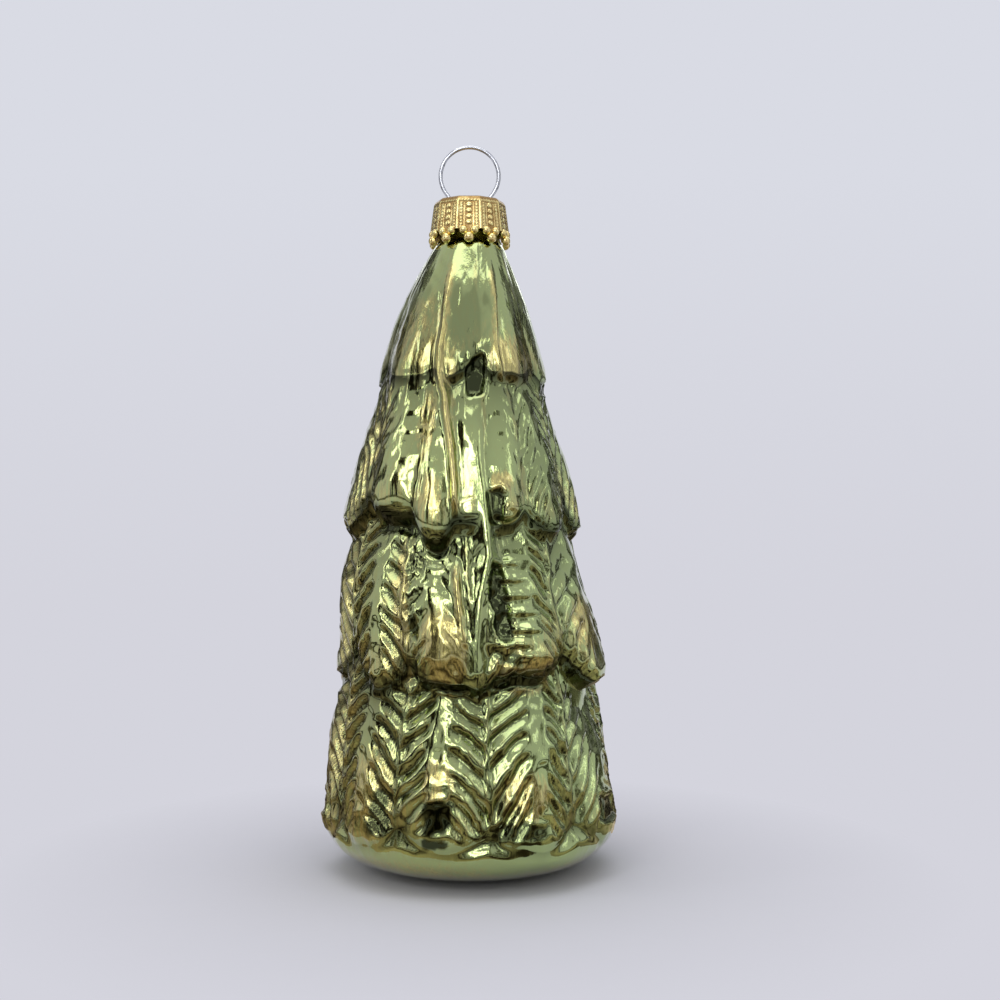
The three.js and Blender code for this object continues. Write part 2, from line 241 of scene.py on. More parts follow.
def rgba(colour):
    return (*colour[:3], 1.0)


# The blown glass


class GlassSettings(bpy.types.PropertyGroup):
    """Sizes and colours of the blown tree."""

    columns: IntProperty(
        name="Columns", description="Points round the tree", default=340, min=60
    )
    wall: FloatProperty(
        name="Wall", description="Thickness of the glass in mm", default=0.7, min=0.2
    )
    needle_depth: FloatProperty(
        name="Needle depth", description="Scale of the moulded needles", default=1.0, min=0
    )
    green: FloatVectorProperty(
        name="Green", description="Lacquer", subtype="COLOR", default=(0.38, 0.475, 0.185)
    )
    # A painted warm reflection that the material blends over the left side of the tree.
    warm_reflection_olive: FloatVectorProperty(
        name="Olive", description="Lacquer on the left", subtype="COLOR", default=(0.42, 0.425, 0.15)
    )
    gold: FloatVectorProperty(
        name="Gold", description="Brushed gold", subtype="COLOR", default=(0.68, 0.60, 0.21)
    )
    brown: FloatVectorProperty(
        name="Brown", description="Darkest brushing", subtype="COLOR", default=(0.18, 0.13, 0.045)
    )


# Sizes of the glass in millimetres, and the powers that shape its tips and furrows.
NECK_RADIUS = 4.0
NECK_WALL = 0.7
RIM_ROUND = 0.25
DOME_HEIGHT = 8.0
DOME_RADIUS = 20.4
DOME_SQUARENESS = 2.7
SHOULDER_DROP = 1.8
SHOULDER_STEP = 0.95
CONE_DROP = 8.6
CONE_RADIUS = 8.3
BASE_TIPS = 5.6
BASE_LIP = 0.45
LIP_DEPTH = 2.2
ROLL_SPAN = 3.2
TIP_POWER = 1.9
FURROW_POWER = 2.2
INNER_INSET = 2.9
BOWL_LIFT = 1.2
FRONT_DENSITY = 0.15
DENT_BIAS = 0.38

# Each tier from the top down: its length and its radius at the tips, how far it starts
# inside the one above, the depth of its furrows, how far its tips roll in, the height of
# the stem in each furrow, how uneven it is, and its needles' spacing, depth and slope.
# Each bough, going round to the right: the angle of its crest and of the furrow on its
# right, how far its tip and that furrow's end stand above the tier's tips, and how much
# it overhangs, rolls in and shows needles, against the tier's own values.
TIERS = [
    dict(
        length=19.0, radius=11.5, recess=0.0, valley=0.7, roll=0.7, stem=0.2, rough=0.35,
        spacing=2.0, depth=0.05, slope=1.2,
        boughs=[
            (353, 11, 0.0, 2.0, 1.1, 0.6, 0.0),
            (36, 58, 0.0, 1.0, 0.9, 0.5, 0.3),
            (81, 104, -1.0, 1.6, 0.8, 0.8, 0.5),
            (128, 151, 0.7, 1.8, 0.9, 0.9, 0.5),
            (175, 198, -0.8, 1.8, 1.0, 1.2, 0.5),
            (222, 246, 0.6, 1.8, 0.8, 0.9, 0.5),
            (270, 293, -1.0, 1.5, 0.6, 0.6, 0.5),
            (316, 341, 0.0, 0.7, 0.4, 0.4, 0.3),
        ],
    ),
    dict(
        length=19.6, radius=16.5, recess=1.3, valley=1.2, roll=0.9, stem=0.3, rough=0.8,
        spacing=2.4, depth=0.5, slope=1.7,
        boughs=[
            (6, 13, 0.9, 0.8, 0.5, 0.4, 0.0),
            (23, 34, 0.4, 2.2, 1.3, 1.5, 0.0),
            (50, 66, -0.6, 3.0, 0.9, 0.5, 1.0),
            (83, 100, -1.0, 3.2, 1.3, 0.5, 1.0),
            (120, 140, -1.2, 3.4, 1.1, 0.9, 1.0),
            (160, 180, 0.6, 3.0, 1.2, 1.1, 0.5),
            (201, 222, -1.4, 3.4, 0.9, 0.7, 0.7),
            (242, 262, 0.3, 3.2, 1.2, 0.9, 1.0),
            (283, 305, -0.6, 3.4, 1.3, 0.6, 1.0),
            (323, 337, 1.4, 1.8, 1.7, 0.9, 0.05),
            (347, 357, -1.6, 0.6, 1.5, 0.8, 0.0),
        ],
    ),
    dict(
        length=19.4, radius=18.9, recess=1.8, valley=1.5, roll=0.9, stem=0.4, rough=1.0,
        spacing=2.7, depth=0.7, slope=1.1,
        boughs=[
            (348, 3, 0.2, -0.8, 1.3, 0.5, 0.35),
            (29, 45, 0.8, 3.6, 1.5, 1.8, 1.0),
            (66, 92, -0.6, 3.8, 2.5, 0.6, 0.8),
            (115, 138, -1.2, 4.0, 1.6, 0.8, 1.0),
            (158, 178, 0.6, 3.6, 1.2, 1.2, 0.8),
            (199, 219, -1.0, 4.0, 1.4, 0.6, 0.9),
            (238, 258, 0.5, 3.8, 0.9, 1.0, 1.0),
            (277, 299, -0.4, 3.6, 0.5, 0.4, 1.0),
            (319, 333, -0.8, 2.6, 0.9, 0.7, 1.4),
        ],
    ),
    dict(
        length=21.0, recess=1.9, valley=1.5, roll=0.4, stem=0.35, rough=1.0,
        spacing=2.6, depth=0.8, slope=1.1,
        boughs=[
            (348, 7, 0.4, 2.0, 1.0, 1.0, 1.0),
            (29, 44, 0.2, 2.6, 1.0, 1.0, 1.0),
            (68, 94, -0.3, 2.6, 1.0, 0.8, 0.9),
            (112, 132, 0.3, 2.6, 1.0, 1.0, 1.0),
            (153, 175, -0.5, 2.8, 1.0, 1.0, 1.0),
            (197, 218, 0.2, 2.6, 1.0, 1.0, 0.9),
            (238, 258, 0.4, 2.6, 1.0, 1.0, 1.0),
            (278, 298, -0.4, 2.6, 1.0, 0.8, 1.3),
            (315, 332, 0.3, 2.6, 1.0, 1.0, 1.3),
        ],
    ),
]
CREST, FURROW, TIP, RISE, OVERHANG, ROLL, NEEDLE = range(7)

# Raised lines that run down across the tiers: points of height and angle, the line's half
# width, how far its top lies inside the outline, and how much gold it takes.
RIDGES = [
    ([(47, -2), (55, -4), (62, -9), (66, -14), (81, -15)], 0.5, -0.15, 1.0),
    ([(64, 30), (69, 26), (81, 31)], 0.4, -0.05, 0.7),
    ([(25, 1), (31, 3), (37, 7.5), (43, 12.5), (47, 12), (52, 10), (60, 8)], 0.9, 0.35, 0.0),
    ([(29, -3), (36, -2), (42, -2)], 0.45, 0.3, 1.0),
]

# Hollows that the mould pressed under the tips: height, angle, half width, half height,
# depth, and how much painted shade fills them. The last three are wide, faint patches of painted shade.
HOLLOWS = [
    (65.2, 11, 1.25, 2.4, 0.7, 1.0),
    (46.2, -34, 3.0, 1.4, 0.4, 1.0),
    (43.2, -11, 1.2, 1.0, 0.4, 1.0),
    (48.3, 17.5, 1.1, 2.3, 0.6, 1.0),
    (36.6, 16, 1.0, 4.4, 0.8, 1.0),
    (25.8, -9, 2.4, 0.6, 0.4, 1.0),
    (26.4, 20, 3.4, 0.8, 0.4, 1.0),
    (10.4, -12, 1.9, 1.9, 0.15, 1.0),
    (7.0, -12, 1.7, 0.6, 0.1, 1.0),
    (10.0, -37, 1.5, 2.4, 0.12, 0.9),
    (8.2, 19, 3.0, 0.9, 0.12, 0.8),
    (33.5, -24, 0.8, 1.6, 0.25, 0.9),
    (41.0, -22, 1.3, 0.8, 0.3, 0.8),
    (29.5, 16, 1.5, 1.0, 0.25, 0.7),
    (71.5, 1, 3.2, 5.5, 0.05, 0.4),
    (70.5, -33, 4.5, 7.0, 0.04, 0.36),
    (52, 49, 3.2, 5.5, 0.04, 0.35),
]
BACK_HOLLOWS_FROM = 50

# Swellings on the boughs: height, angle, half width, half height and how far they stand out.
SWELLINGS = [
    (31.0, -11, 2.3, 3.0, 0.6), (51.8, -35, 1.6, 2.0, 0.4),
    (50.5, 22, 0.9, 0.8, 0.45), (48.6, 25, 1.0, 0.8, 0.45), (47.0, 22.5, 0.9, 0.6, 0.4),
    (41.4, 22, 1.9, 0.45, 0.6), (39.4, 23.5, 2.0, 0.45, 0.6), (37.4, 25, 2.0, 0.45, 0.6),
    (35.3, 26, 2.1, 0.45, 0.6), (33.2, 26, 2.2, 0.45, 0.6), (31.4, 18, 2.0, 0.5, 0.6),
    (29.8, 24, 1.6, 0.5, 0.5), (37.0, -13, 1.6, 2.6, 0.4), (59.0, 6, 1.6, 3.0, 0.3),
]

# Where gold is brushed on: height, angle, half width, half height and how much.
BRUSHED = [
    (70, -36, 4.2, 5.0, 0.7), (67, -12, 1.6, 3.0, 0.9), (67.5, 42, 4.0, 2.6, 0.75),
    (59, -20, 1.2, 4.0, 0.6), (49.5, -15, 1.6, 3.0, 0.6), (51.5, 21, 1.3, 1.2, 0.9),
    (35, -29, 1.0, 8.0, 0.9), (30.5, -11, 2.6, 4.4, 1.0), (27.5, 24, 4.4, 2.2, 0.8),
    (33, 62, 2.4, 3.4, 0.8), (14, -12, 1.9, 2.8, 0.7), (12, -42, 4.0, 5.0, 0.6),
    (12.5, 22, 3.2, 2.6, 0.6), (27, -75, 5.0, 22.0, 0.6), (55, -60, 3.0, 12.0, 0.5),
    # The last two, round the underside, are brushing and partly a painted brown reflection.
    (2, -30, 14.0, 2.2, 0.4), (1.4, 60, 12.0, 2.0, 0.4),
]
BACK_BRUSHED = 18
SEAM_ANGLE = math.radians(-5)
NECK_FOOT = BASE_TIPS + sum(tier["length"] for tier in TIERS)


def tip_height(k):
    """The average height of a tier's tips."""
    return BASE_TIPS + sum(tier["length"] for tier in TIERS[k + 1 :])


# Points of height and radius that the outline above the dome runs through.
OUTLINE = [
    (DOME_HEIGHT, DOME_RADIUS),
    *[(tip_height(k), TIERS[k]["radius"]) for k in (2, 1, 0)],
    (NECK_FOOT - CONE_DROP, CONE_RADIUS),
    (NECK_FOOT - SHOULDER_DROP, NECK_RADIUS + SHOULDER_STEP),
    (NECK_FOOT, NECK_RADIUS),
    (rim_height, NECK_RADIUS),
]

# How far the body's axis sways off the neck's in X: points of height and offset.
LEAN = [
    (0, 0.4), (12, 0.3), (20, 0.25), (28, 0.6), (33, 0),
    (40, -0.9), (54, -1), (70, -0.85), (78, -0.55), (84, 0),
]


def dome_curve(x):
    return (1 - clamp01(x) ** DOME_SQUARENESS) ** (1 / DOME_SQUARENESS)


def outline_radius(height):
    """The radius that the boughs' crests touch: a squared dome, then the curve above."""
    dome = DOME_RADIUS * dome_curve(1 - height / DOME_HEIGHT)
    return np.where(height < DOME_HEIGHT, dome, curve_through(OUTLINE, height))


def bough_at(tier, angle):
    """The bough that an angle lies on, the one on its left, how far across the bough the
    angle lies, from -1 to 1 with 0 on the crest, and the width from crest to furrow."""
    table = np.array(tier["boughs"], float)
    degrees = np.degrees(angle) % 360
    count = len(table)
    order = np.argsort(table[:, FURROW])
    furrows = table[order, FURROW]
    i = np.searchsorted(furrows, degrees)
    own, left = order[i % count], order[(i - 1) % count]
    right_side = furrows[i % count] + 360 * (i == count)
    left_side = furrows[(i - 1) % count] - 360 * (i == 0)
    crest = table[own, CREST]
    crest = crest + 360 * (crest < left_side) - 360 * (crest > right_side)
    off = degrees - crest
    half = np.where(off < 0, crest - left_side, right_side - crest)
    return own, left, off / half, np.radians(half)


def around(tier, column, angle):
    """One column of a tier's table, blended from crest to crest by S-shaped steps."""
    table = np.array(tier["boughs"], float)
    table = table[np.argsort(table[:, CREST])]
    crests = np.concatenate([table[-1:, CREST] - 360, table[:, CREST], table[:1, CREST] + 360])
    values = np.concatenate([table[-1:, column], table[:, column], table[:1, column]])
    degrees = np.degrees(angle) % 360
    i = np.clip(np.searchsorted(crests, degrees, side="right") - 1, 0, len(crests) - 2)
    share = smooth((degrees - crests[i]) / (crests[i + 1] - crests[i]))
    return mix(values[i], values[i + 1], share)


def edge_height(k, angle):
    """The height of a tier's lower edge: each bough's tip, curving up to the furrows."""
    tier = TIERS[k]
    own, left, across, _ = bough_at(tier, angle)
    table = np.array(tier["boughs"], float)
    rise = np.where(across < 0, table[left, RISE], table[own, RISE])
    ragged = 0.4 * wander(40 + k, angle, 0 * angle + 20.0 * k, 50, 4.0)
    return tip_height(k) + mix(table[own, TIP], rise, np.abs(across) ** TIP_POWER) + ragged


def needles(k, angle, height, own, across, half):
    """Needles as round ridges with sharp grooves between, set down each side of a bough:
    |cos| of a phase that grows with height and with the distance from the crest, so that
    each ridge slants down from the crest to the furrow. Returns ridge and phase."""
    tier = TIERS[k]
    along = clamp01((tip_height(k) + tier["length"] - height) / tier["length"])
    slope = tier["slope"] * (0.6 + 0.7 * along**2)
    lateral = np.abs(across) * half * outline_radius(height)
    drift = 0.22 * wander(10 + k, angle, height, 40, 4.0) + 0.37 * own
    phase = (height + slope * lateral) / tier["spacing"] + drift
    return np.sqrt(np.cos(math.pi * phase) ** 2 + 0.02), phase


def dents(seed, angle, height):
    """Large, middle and small unevenness of blown glass, in mm, with long flutes and low
    plateaus: a wandering value, stepped at two levels."""
    large = 0.25 * wander(seed, angle, height, 20, 6.0)
    middle = 0.18 * wander(seed + 1, angle, height, 38, 3.2)
    small = 0.045 * wander(seed + 2, angle, height, 84, 1.3)
    flutes = 0.05 * wander(seed + 3, angle + 0.004 * height, height, 96, 5.5)
    field = wander(seed + 7, angle, height, 60, 2.2)
    plateaus = 0.09 * (smooth((field - 0.05) / 0.16) + smooth((-0.25 - field) / 0.16))
    return large + middle + small + flutes + plateaus + DENT_BIAS


def tier_relief(k, angle, height, above, edge, above_relief, settings):
    """How far a tier lies inside the outline. It starts recessed under the tier above,
    swells to the outline, is furrowed between boughs, rolls in at the tips, and carries
    needles and a raised stem in each furrow. It begins with an S-shaped step down from
    the tip of the tier above."""
    tier = TIERS[k]
    bent = angle + 0.03 * wander(70 + k, angle, height, 22, 6.0)
    own, _, across, half = bough_at(tier, bent)
    side = np.abs(across)
    along = clamp01((above - height) / (above - edge))
    from_edge = height - edge
    furrow = side**FURROW_POWER
    lateral = (1 - side) * half * outline_radius(height)
    overhang = around(TIERS[k - 1], OVERHANG, angle) if k else 0
    roll = tier["roll"] * around(tier, ROLL, angle)
    shape = tier["recess"] * overhang * (1 - along) ** 2
    shape = shape + tier["valley"] * along**0.7 * furrow
    shape = shape + roll * clamp01(1 - from_edge / ROLL_SPAN) ** 3.5 * (1 - 0.7 * furrow)
    ridge, phase = needles(k, bent, height, own, across, half)
    shown = around(tier, NEEDLE, angle) * (0.06 + 0.94 * smooth((side - 0.15) / 0.25))
    shown = shown * smooth((1 - side) / 0.12) * (0.3 + 0.7 * smooth(along / 0.2))
    last = k == len(TIERS) - 1
    if last:
        shown = shown * smooth(from_edge / 3.0)
    uneven = 1 + 0.35 * wander(20 + k, angle, height, 30, 5.0)
    shape = shape + tier["depth"] * settings.needle_depth * uneven * shown * (1 - ridge)
    # Painted shade in the needle grooves, heavier on the left side of the tree.
    groove_shade = shown * smooth((0.7 - ridge) / 0.6) * (0.46 - 0.38 * np.sin(angle))
    stem = hump(lateral, 0.5) * smooth(along / 0.2)
    shape = shape - tier["stem"] * stem
    uneven = tier["rough"] * smooth((NECK_FOOT - height) / 6)
    shape = shape + dents(30 + 4 * k, angle, height) * uneven
    lip = smooth((above - height) / LIP_DEPTH) if k else np.ones_like(height)
    relief = mix(above_relief, shape, lip)
    tip = clamp01(1 - from_edge / 8.0) * (1 - 0.6 * furrow) * smooth(from_edge / 2.5)
    # Painted shade along each tier's lower edge, stronger at some tips than at others.
    under = smooth((1.5 - from_edge) / 1.2) * smooth(0.7 + wander(80 + k, angle, height, 14, 9.0))
    under = under * (0.25 if last else 0.8 if k else 0.3)
    # Painted shade in the furrows and in the recess under the tier above.
    hollow = furrow * along * 0.5 + (1 - along) ** 4 * (0.8 if k else 0.0)
    marks = {
        "phase": phase,
        "needle": shown * lip,
        "gold": (0.15 * ridge * shown + 0.2 * stem + (0.2 if last else 0.45) * tip) * lip,
        # The shade mark is painted shade; in the recess under the tier above it is full.
        "shade": clamp01(mix(1.0, hollow + groove_shade + under, lip)),
    }
    return relief, marks


TIER_ROWS = [44, 50, 56, 58]
LIP_ROWS = 10
BASE_ROWS = 30
INNER_ROWS = 8


def body_points(angle, radius, height):
    """Points from angle, radius and height. The body sways a little to each side on its
    way down from the neck."""
    x = curve_through(LEAN, np.minimum(height, NECK_FOOT)) + radius * np.sin(angle)
    return np.stack([x, -radius * np.cos(angle), height + glass_foot + 0 * radius], -1)


def glass_rows(settings):
    """Rows of angle, radius and height from the pole of the base up to the neck's foot,
    with the marks that the material reads."""
    even = np.arange(settings.columns) / settings.columns * TURN
    angle = even - FRONT_DENSITY * np.sin(even)
    blocks = []
    above = np.full_like(angle, NECK_FOOT)
    above_relief = np.zeros_like(angle)
    for k, rows in enumerate(TIER_ROWS):
        edge = edge_height(k, angle)
        lip = LIP_DEPTH if k else 0.0
        height = above - lip + (edge - above + lip) * (np.arange(1, rows + 1) / rows)[:, None]
        if k:
            lips = above - lip * (np.arange(1, LIP_ROWS + 1) / LIP_ROWS)[:, None]
            height = np.concatenate([lips, height])
        grid = np.broadcast_to(angle, height.shape)
        relief, marks = tier_relief(k, grid, height, above, edge, above_relief, settings)
        blocks.append((outline_radius(height) - relief, height, marks))
        above, above_relief = edge, relief[-1]
    share = 1 - (np.arange(1, BASE_ROWS) / BASE_ROWS)[:, None] ** 1.6
    rim = outline_radius(above)
    height = DOME_HEIGHT * (1 - dome_curve(share * rim / DOME_RADIUS))
    grid = np.broadcast_to(angle, height.shape)
    settle = smooth((above - height) / 1.8)
    uneven = 0.5 * dents(60, grid, height)
    relief = mix(above_relief, BASE_LIP + uneven, settle) * smooth(height / above * 1.4)
    none = np.zeros_like(height)
    # Painted shade under the lowest tier's tips and darker towards the bottom. The gold towards the
    # bottom is brushing and partly a painted brown reflection.
    low = smooth((3.0 - height) / 1.5)
    marks = {"phase": none, "needle": none, "gold": 0.3 * low, "shade": mix(0.4, 0.5 * low, settle)}
    blocks.append((share * rim - relief, height, marks))
    radius = np.concatenate([block[0] for block in blocks])[::-1]
    height = np.concatenate([block[1] for block in blocks])[::-1]
    marks = {key: np.concatenate([b[2][key] for b in blocks])[::-1] for key in blocks[0][2]}
    return angle, radius, height, marks


def add_ridges(angle, radius, height, marks):
    """Lays the long raised lines over the tiers: near a line the surface is drawn to a
    height of its own under the outline, so the line runs on across the tiers' edges."""
    around_front = turned_from(angle, 0)
    for path, width, inset, gold in RIDGES:
        low, high = path[0][0], path[-1][0]
        middle = np.radians(curve_through(path, np.clip(height, low, high)))
        off = (around_front - middle) * radius + 0.15 * wander(90, angle, height, 12, 3.0)
        share = hump(off, width) * smooth((height - low) / 3) * smooth((high - height) / 3)
        radius = mix(radius, outline_radius(height) - inset, share)
        marks["gold"] = mix(marks["gold"], gold, share)
        marks["shade"] = mix(marks["shade"], 0, share)
    for middle in (SEAM_ANGLE, SEAM_ANGLE + math.pi):
        off = turned_from(angle, middle)
        thread = hump(off * radius, 0.2) * smooth((24 - height) / 4)
        radius = radius + 0.12 * thread * smooth(height / 3)
    return radius


def add_swellings(angle, radius, height):
    """Raises each swelling as a round hump: exp of minus the squared distance from its
    middle, over its half sizes."""
    for middle, crest, wide, tall, lift in SWELLINGS:
        off = turned_from(angle, math.radians(crest))
        radius = radius + lift * hump(off * radius / wide, 1) * hump((height - middle) / tall, 1)
    return radius


def all_hollows():
    """The hollows above, and one of like size under each tip round the back."""
    found = list(HOLLOWS)
    draw = np.random.default_rng(5)
    for k, tier in enumerate(TIERS):
        for crest, _, tip, *_ in tier["boughs"]:
            wide, tall, below = draw.uniform((1.2, 0.9, 0.4), (2.8, 1.7, 1.4))
            if BACK_HOLLOWS_FROM < crest < 360 - BACK_HOLLOWS_FROM:
                lift = 4.0 if k == len(TIERS) - 1 else -below
                # Each hollow round the back is filled with painted shade of 0.8.
                found.append((tip_height(k) + tip + lift, crest, wide, tall, 0.4, 0.8))
    return found


def add_hollows(angle, radius, height, marks):
    """Presses each hollow in with a thin raised rim: its reach is the fourth root of the
    sum of the fourth powers of the distances from its middle, over its half sizes."""
    for middle, crest, wide, tall, depth, dark in all_hollows():
        off = turned_from(angle, math.radians(crest))
        across, up = off * radius / wide, (height - middle) / tall
        reach = (across**4 + up**4) ** 0.25 + 0.35 * wander(95, angle, height, 70, 1.6)
        inside = smooth((1.15 - reach) / 0.3)
        rim = hump(reach - 1.22, 0.12)
        radius = radius - depth * inside + 0.2 * depth * rim
        # Painted shade inside each hollow, which takes away gold and needle lines there.
        marks["shade"] = np.maximum(marks["shade"], dark * inside)
        marks["gold"] = marks["gold"] * (1 - dark * inside)
        marks["needle"] = marks["needle"] * (1 - dark * inside)
    return radius


def add_brushing(angle, height, marks):
    """Adds each brushed patch as a soft oval, and as many again round the back."""
    draw = np.random.default_rng(8)
    patches = list(BRUSHED)
    for _ in range(BACK_BRUSHED):
        crest = draw.uniform(80, 275)
        patches.append((draw.uniform(2, 76), crest, *draw.uniform((1.2, 2, 0.3), (4, 7, 0.8))))
    for middle, crest, wide, tall, amount in patches:
        off = turned_from(angle, math.radians(crest))
        reach = (off * outline_radius(height) / wide) ** 2 + ((height - middle) / tall) ** 2
        marks["gold"] = np.maximum(marks["gold"], amount * np.exp(-(reach**2) / 2))


def build_glass(settings):
    """The whole glass as one closed skin: outside, rim, and a plain inside that lies the
    wall's thickness and a fixed inset within the outline, clear of the relief."""
    angle, radius, height, marks = glass_rows(settings)
    add_brushing(angle, height, marks)
    radius = add_swellings(angle, radius, height)
    radius = add_hollows(angle, radius, height, marks)
    radius = add_ridges(angle, radius, height, marks)
    columns = settings.columns
    neck = [
        (NECK_RADIUS, NECK_FOOT + 0.6),
        (NECK_RADIUS, rim_height - RIM_ROUND),
        (NECK_RADIUS - RIM_ROUND * 0.3, rim_height - RIM_ROUND * 0.3),
        (NECK_RADIUS - RIM_ROUND, rim_height),
        (NECK_RADIUS - NECK_WALL + RIM_ROUND, rim_height),
        (NECK_RADIUS - NECK_WALL, rim_height - RIM_ROUND),
        (NECK_RADIUS - NECK_WALL, NECK_FOOT),
    ]
    neck = np.array(neck)
    neck_radius = np.repeat(neck[:, :1], columns, 1)
    neck_height = np.repeat(neck[:, 1:], columns, 1)
    levels = np.linspace(NECK_FOOT - 1.5, DOME_HEIGHT, INNER_ROWS)
    follow = smooth((NECK_FOOT - levels) / CONE_DROP)
    inner = outline_radius(levels) - mix(NECK_WALL, settings.wall, follow) - INNER_INSET * follow
    bowl_share = np.array([0.93, 0.75, 0.5, 0.25])
    bowl_height = DOME_HEIGHT * (1 - dome_curve(bowl_share))
    bowl_lift = settings.wall + BOWL_LIFT * bowl_share
    inner = np.concatenate([inner, inner[-1] * bowl_share])
    levels = np.concatenate([levels, bowl_height + bowl_lift])
    inside_radius = np.repeat(inner[:, None], columns, 1)
    inside_height = np.repeat(levels[:, None], columns, 1)
    all_radius = np.concatenate([radius, neck_radius, inside_radius])
    all_height = np.concatenate([height, neck_height, inside_height])
    grid = np.broadcast_to(angle, all_radius.shape)
    points = body_points(grid, all_radius, all_height).reshape(-1, 3)
    ends = body_points(np.zeros(2), np.zeros(2), np.array([0.0, settings.wall]))
    points = np.concatenate([points, ends])
    rows = len(all_radius)
    last_ring = (rows - 1) * columns + np.arange(columns)
    faces = [
        ring_faces(rows, columns),
        fan(rows * columns, np.arange(columns), outward=False),
        fan(rows * columns + 1, last_ring),
    ]
    extra = rows - len(radius)
    full = {}
    for key, values in marks.items():
        hidden = np.zeros(extra * columns + 2)
        full[key] = np.concatenate([values.ravel(), hidden])
    return points, faces, full


def glass_material(settings):
    """Silvered glass under green lacquer, brushed with gold and brown along the ridges, with painted
    shade and a painted warm reflection on the left.
    """
    n = Nodes("silvered_green_glass")
    gold, shade = n.mark("gold"), n.mark("shade")
    streak = n.noise(1700, (1, 1, 0.09), 4, 0.6, 0.3)
    broad = n.noise(70, (1, 1, 0.5), 2, 0.5)
    place = n.put("ShaderNodeSeparateXYZ")
    n.join(n.put("ShaderNodeTexCoord").outputs["Object"], place.inputs[0])
    # A painted warm reflection: an olive cast blended in streaks over the left side.
    warm_reflection_left = n.span(place.outputs["X"], 0.010, -0.014)
    brushed = n.math("MULTIPLY", gold, n.span(streak, 0.32, 0.66, 0.25, 1.7))
    gold_share = n.span(brushed, 0.12, 0.62, 0.0, 0.95)
    fine = n.noise(3600, (1, 1, 0.09), 3, 0.6)
    brown_share = n.math("MULTIPLY", n.span(fine, 0.45, 0.65), gold_share)
    brown_share = n.math("MULTIPLY", brown_share, 0.5)
    pale = tuple(min(1.0, c * 1.2) for c in settings.green)
    green = n.blend(n.span(broad, 0.35, 0.65), rgba(settings.green), rgba(pale))
    warm_reflection_share = n.math("MULTIPLY", warm_reflection_left, n.span(streak, 0.35, 0.65, 0.3, 0.9))
    green = n.blend(warm_reflection_share, green, rgba(settings.warm_reflection_olive))
    painted = n.blend(gold_share, green, rgba(settings.gold))
    painted = n.blend(brown_share, painted, rgba(settings.brown))
    # Painted shade: the shade mark blends the colour towards near black.
    painted_shade = n.math("MULTIPLY", shade, 0.93)
    painted = n.blend(painted_shade, painted, rgba(tuple(c * 0.05 for c in settings.green)))
    roughness = n.span(gold_share, 0.0, 1.0, 0.08, 0.2)
    lines = n.math("SINE", n.math("MULTIPLY", n.mark("phase"), TURN * 3))
    lines = n.math("MULTIPLY", lines, n.mark("needle"))
    grain = n.bump(streak, 0.00006, 0.5)
    grain = n.bump(fine, 0.00003, 0.5, grain)
    grain = n.bump(lines, 0.00002, 0.4, grain)
    # The coat thins where the shade mark is strong, to keep the painted shade dark.
    n.feed(n.shader, {
        "Base Color": painted, "Roughness": roughness, "Normal": grain,
        "Metallic": 1.0, "Coat Weight": n.span(shade, 0.2, 1.0, 1.0, 0.2),
        "Coat Roughness": 0.02, "Coat IOR": 1.5,
    })
    return n.material


class ORNAMENT_OT_glass(bpy.types.Operator):
    """Build the blown glass tree with its boughs, needles, seam and open neck"""

    bl_idname = "ornament.glass"
    bl_label = "Blown glass"

    def execute(self, context):
        settings = context.scene.ornament_glass
        points, faces, marks = build_glass(settings)
        glass = make_piece("blown_glass", points, faces, glass_material(settings), marks)
        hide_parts("glass_tree")
        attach(glass, "glass_tree")
        return {"FINISHED"}


# The crown cap


class CapSettings(bpy.types.PropertyGroup):
    """Sizes and colours of the stamped cap."""

    panels: IntProperty(name="Panels", description="Flat panels round it", default=10, min=6)
    emboss: FloatProperty(
        name="Emboss", description="Scale of the stamped pattern", default=1.0, min=0
    )
    gold: FloatVectorProperty(
        name="Gold", description="Lacquered sheet", subtype="COLOR", default=(0.90, 0.72, 0.30)
    )
    ground: FloatVectorProperty(
        name="Ground", description="Sheet between the beads", subtype="COLOR", default=(0.36, 0.22, 0.07)
    )


CAP_SHEET = 0.28
CAP_INNER = NECK_RADIUS + 0.25
CAP_OUTER = CAP_INNER + CAP_SHEET
CAP_SHOULDER = 0.7
CAP_SKIRT = 4.6
CAP_FLARE = 0.5
LOBE_DROP = 0.5
TIP_BEAD = 0.7
TIP_BEAD_DROP = 0.6
SIDE_BEAD = 0.58
SIDE_BEAD_OFFSET = 0.72
SIDE_BEAD_RISE = 0.35
TOP_DISH = 0.05
BEAD_ROWS = 11
BEAD_COLUMNS = 20


def skirt_flare(depth):
    """How much wider the skirt is at a depth: it grows evenly from the shoulder down."""
    return CAP_FLARE * np.maximum(0, depth - CAP_SHOULDER) / (CAP_SKIRT - CAP_SHOULDER)


def skirt_edge(angle, panels):
    """Depth of the sheet's lower edge: a cosine with a lobe on each panel."""
    return CAP_SKIRT + LOBE_DROP / 2 * (1 + np.cos(angle * panels))


def panel_radius(angle, depth, middle_radius, panels):
    """Distance from the axis of flat panels that flare below the shoulder, and where the
    angle lies across its panel, from -1 to 1. The folds are slightly rounded."""
    panel = TURN / panels
    off = angle - np.round(angle / panel) * panel
    limit = panel / 2
    rounded = np.minimum(np.abs(off), limit - 0.012)
    return (middle_radius + skirt_flare(depth)) / np.cos(rounded), off / limit


